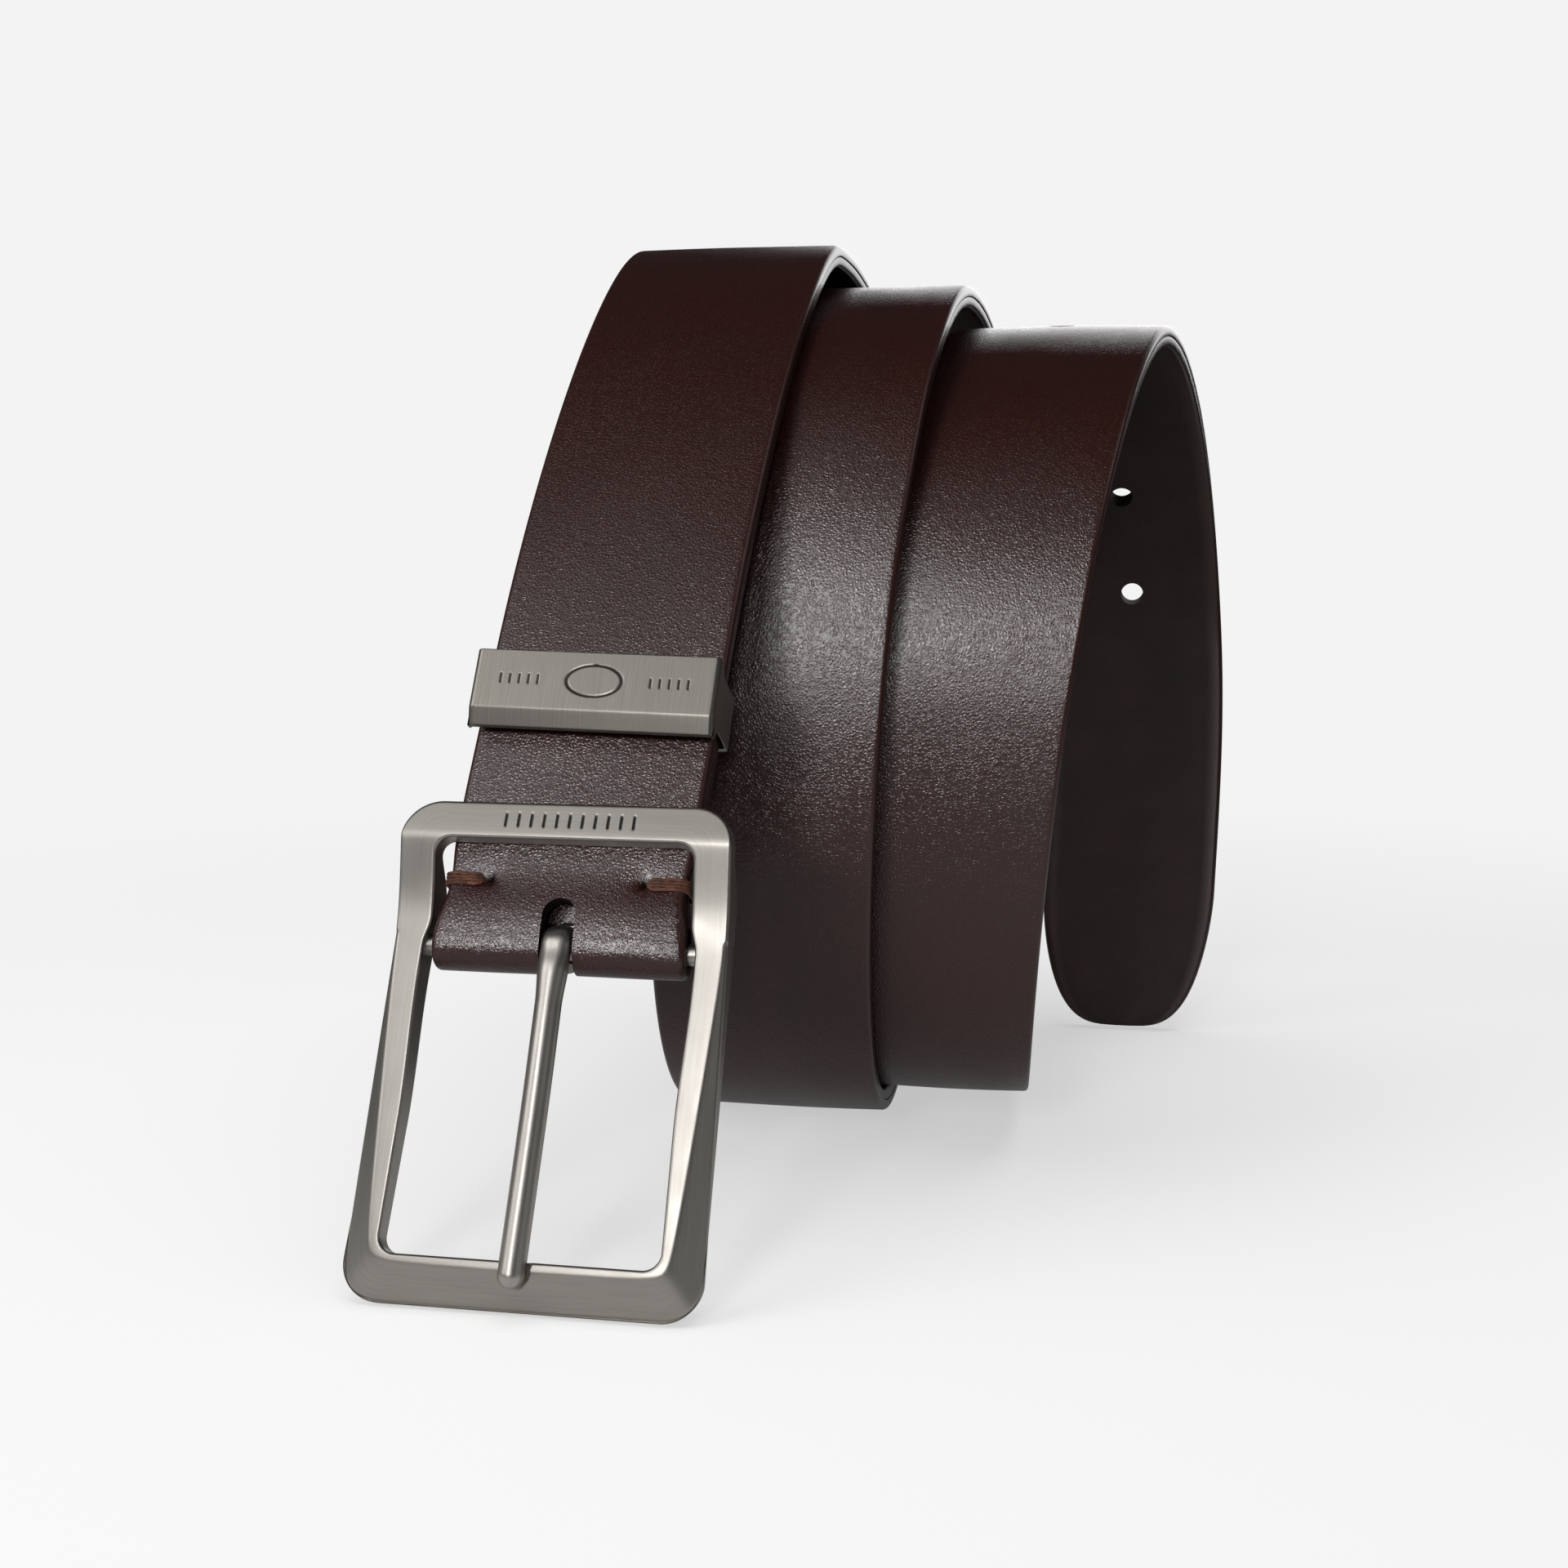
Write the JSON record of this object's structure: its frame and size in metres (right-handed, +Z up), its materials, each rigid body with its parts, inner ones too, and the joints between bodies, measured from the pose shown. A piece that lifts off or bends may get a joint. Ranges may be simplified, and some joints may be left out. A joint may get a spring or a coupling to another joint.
{
  "type": "leather belt",
  "caption": "Leather dress belt rolled in a loose coil, with an open framed buckle, swinging prong, metal keeper and punched holes near its rounded tip.",
  "frame": {"origin": "middle of the bounding box, on the surface that the belt stands on", "axes": "+X across the strap, towards the tip's turn; -Y towards the buckle; +Z up"},
  "size_m": [0.1299, 0.2121, 0.1639],
  "materials": {
    "grain_leather": "dark brown pebbled grain with a soft satin sheen",
    "lining_leather": "matte dark brown flesh side",
    "brushed_metal": "satin brushed, warm gunmetal nickel",
    "thread": "twisted orange-brown thread"
  },
  "bodies": {
    "strap": {"strap_face": "grain_leather", "strap_lining": "lining_leather", "bartack_left": "thread", "bartack_right": "thread"},
    "buckle": {"buckle_frame": "brushed_metal", "buckle_axle": "brushed_metal"},
    "prong": {"prong": "brushed_metal"},
    "keeper": {"keeper": "brushed_metal"}
  },
  "joints": [
    {"name": "buckle_swivel", "type": "hinge", "parent": "strap", "child": "buckle", "pos_m": [-0.038, -0.08025, 0.0488], "axis": [1, 0, 0], "range_deg": [0, 25]},
    {"name": "prong_swivel", "type": "hinge", "parent": "buckle", "child": "prong", "pos_m": [-0.038, -0.08025, 0.0488], "axis": [-1, 0, 0], "range_deg": [0, 90]},
    {"name": "keeper_slide", "type": "slide", "parent": "strap", "child": "keeper", "axis": [-0.0639, -0.4685, -0.8811], "range_m": [0, 0.01]}
  ]
}
